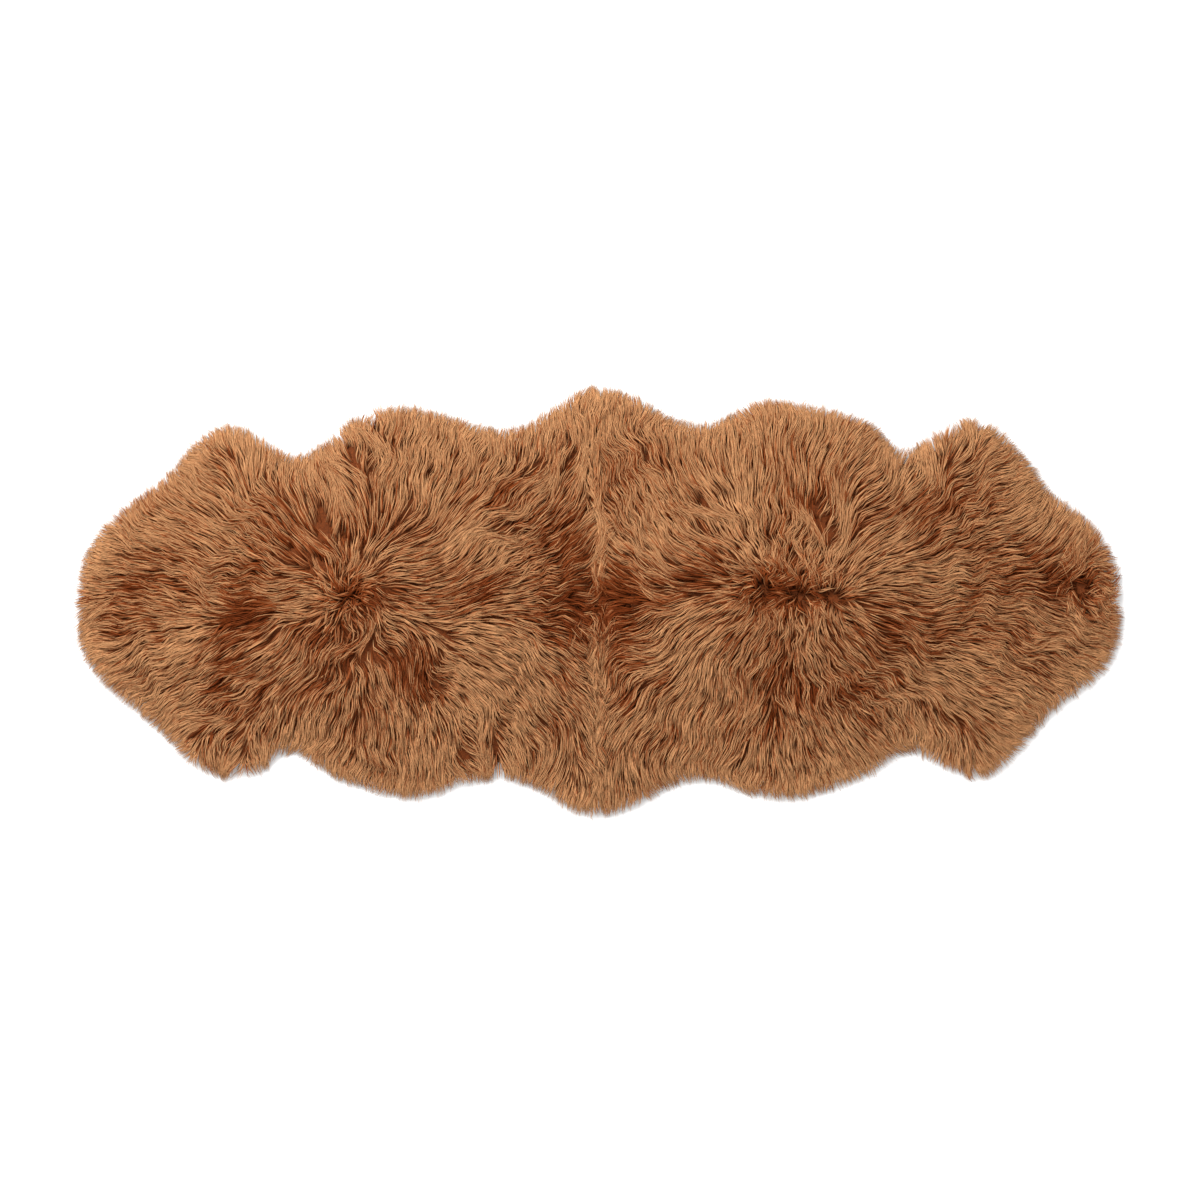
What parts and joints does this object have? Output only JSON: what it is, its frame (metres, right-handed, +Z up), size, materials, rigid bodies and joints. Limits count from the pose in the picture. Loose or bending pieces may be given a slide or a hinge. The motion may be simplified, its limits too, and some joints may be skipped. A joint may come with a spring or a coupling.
{
  "type": "double sheepskin rug",
  "caption": "Double long-wool sheepskin rug: brown pelts sewn end to end, lying flat, with a wavy outline and a rim of pointed locks.",
  "frame": {"origin": "on the floor, under the middle of the seam between the two pelts", "axes": "+X along the rug from the seam to the head end of the right pelt, +Y across the rug, +Z up out of the wool"},
  "size_m": [1.817, 0.7463, 0.0539],
  "materials": {
    "hide": "tanned skin side, matt and suede-like, cream to tan",
    "wool": "long soft wool in loose pointed locks, caramel brown with rust-brown roots"
  },
  "bodies": {
    "root": {"hide_left": "hide", "hide_right": "hide", "wool_left": "wool", "wool_right": "wool"}
  },
  "joints": []
}
